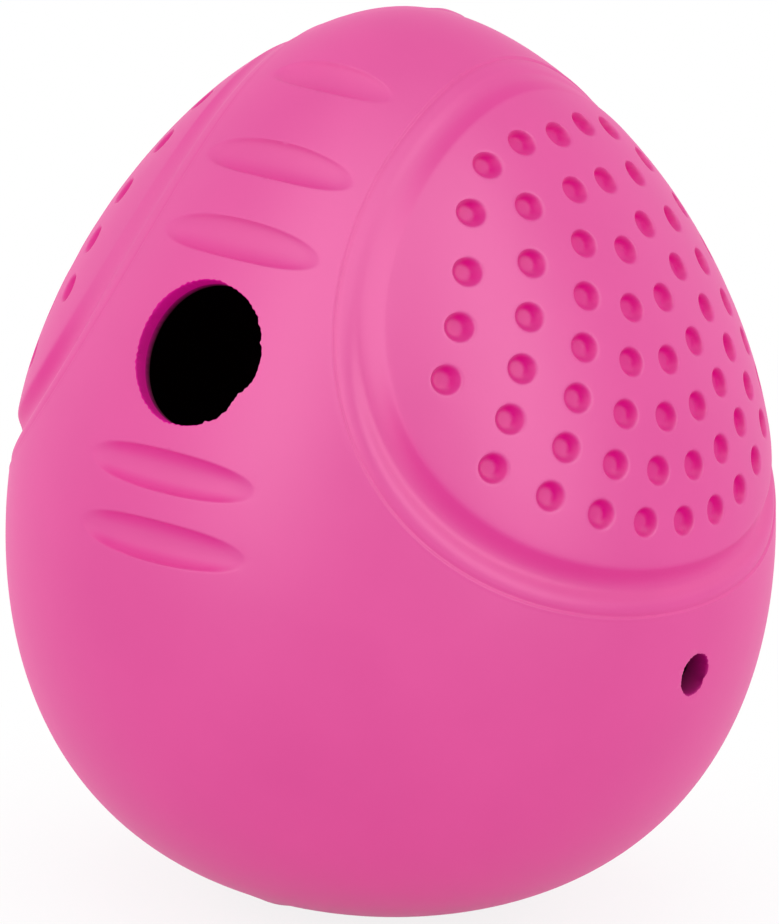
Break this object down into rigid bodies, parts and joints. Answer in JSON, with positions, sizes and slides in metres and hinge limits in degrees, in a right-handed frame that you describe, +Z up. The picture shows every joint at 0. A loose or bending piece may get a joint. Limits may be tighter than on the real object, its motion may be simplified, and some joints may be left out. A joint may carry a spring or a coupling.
{
  "type": "treat ball",
  "caption": "Egg-shaped weighted treat ball of moulded rubber: it rights itself when pushed, and treats drop out of the round opening in its front while it rocks.",
  "frame": {"origin": "Middle of the small resting flat under the egg, which is the bottom centre of the bounding box.", "axes": "+Z runs up the egg's long axis to the crown. The treat opening and the grip grooves face -Y, and the dimpled panels face -X and +X. The vent is on +X."},
  "size_m": [0.0846, 0.0846, 0.1],
  "materials": {
    "left_shell": "satin moulded natural rubber",
    "right_shell": "satin moulded natural rubber",
    "ballast_weight": "turned, uncoated",
    "ballast_cover": "matt moulded natural rubber"
  },
  "bodies": {
    "root": {"left_shell": "left_shell", "right_shell": "right_shell", "ballast_weight": "ballast_weight", "ballast_cover": "ballast_cover"}
  },
  "joints": []
}
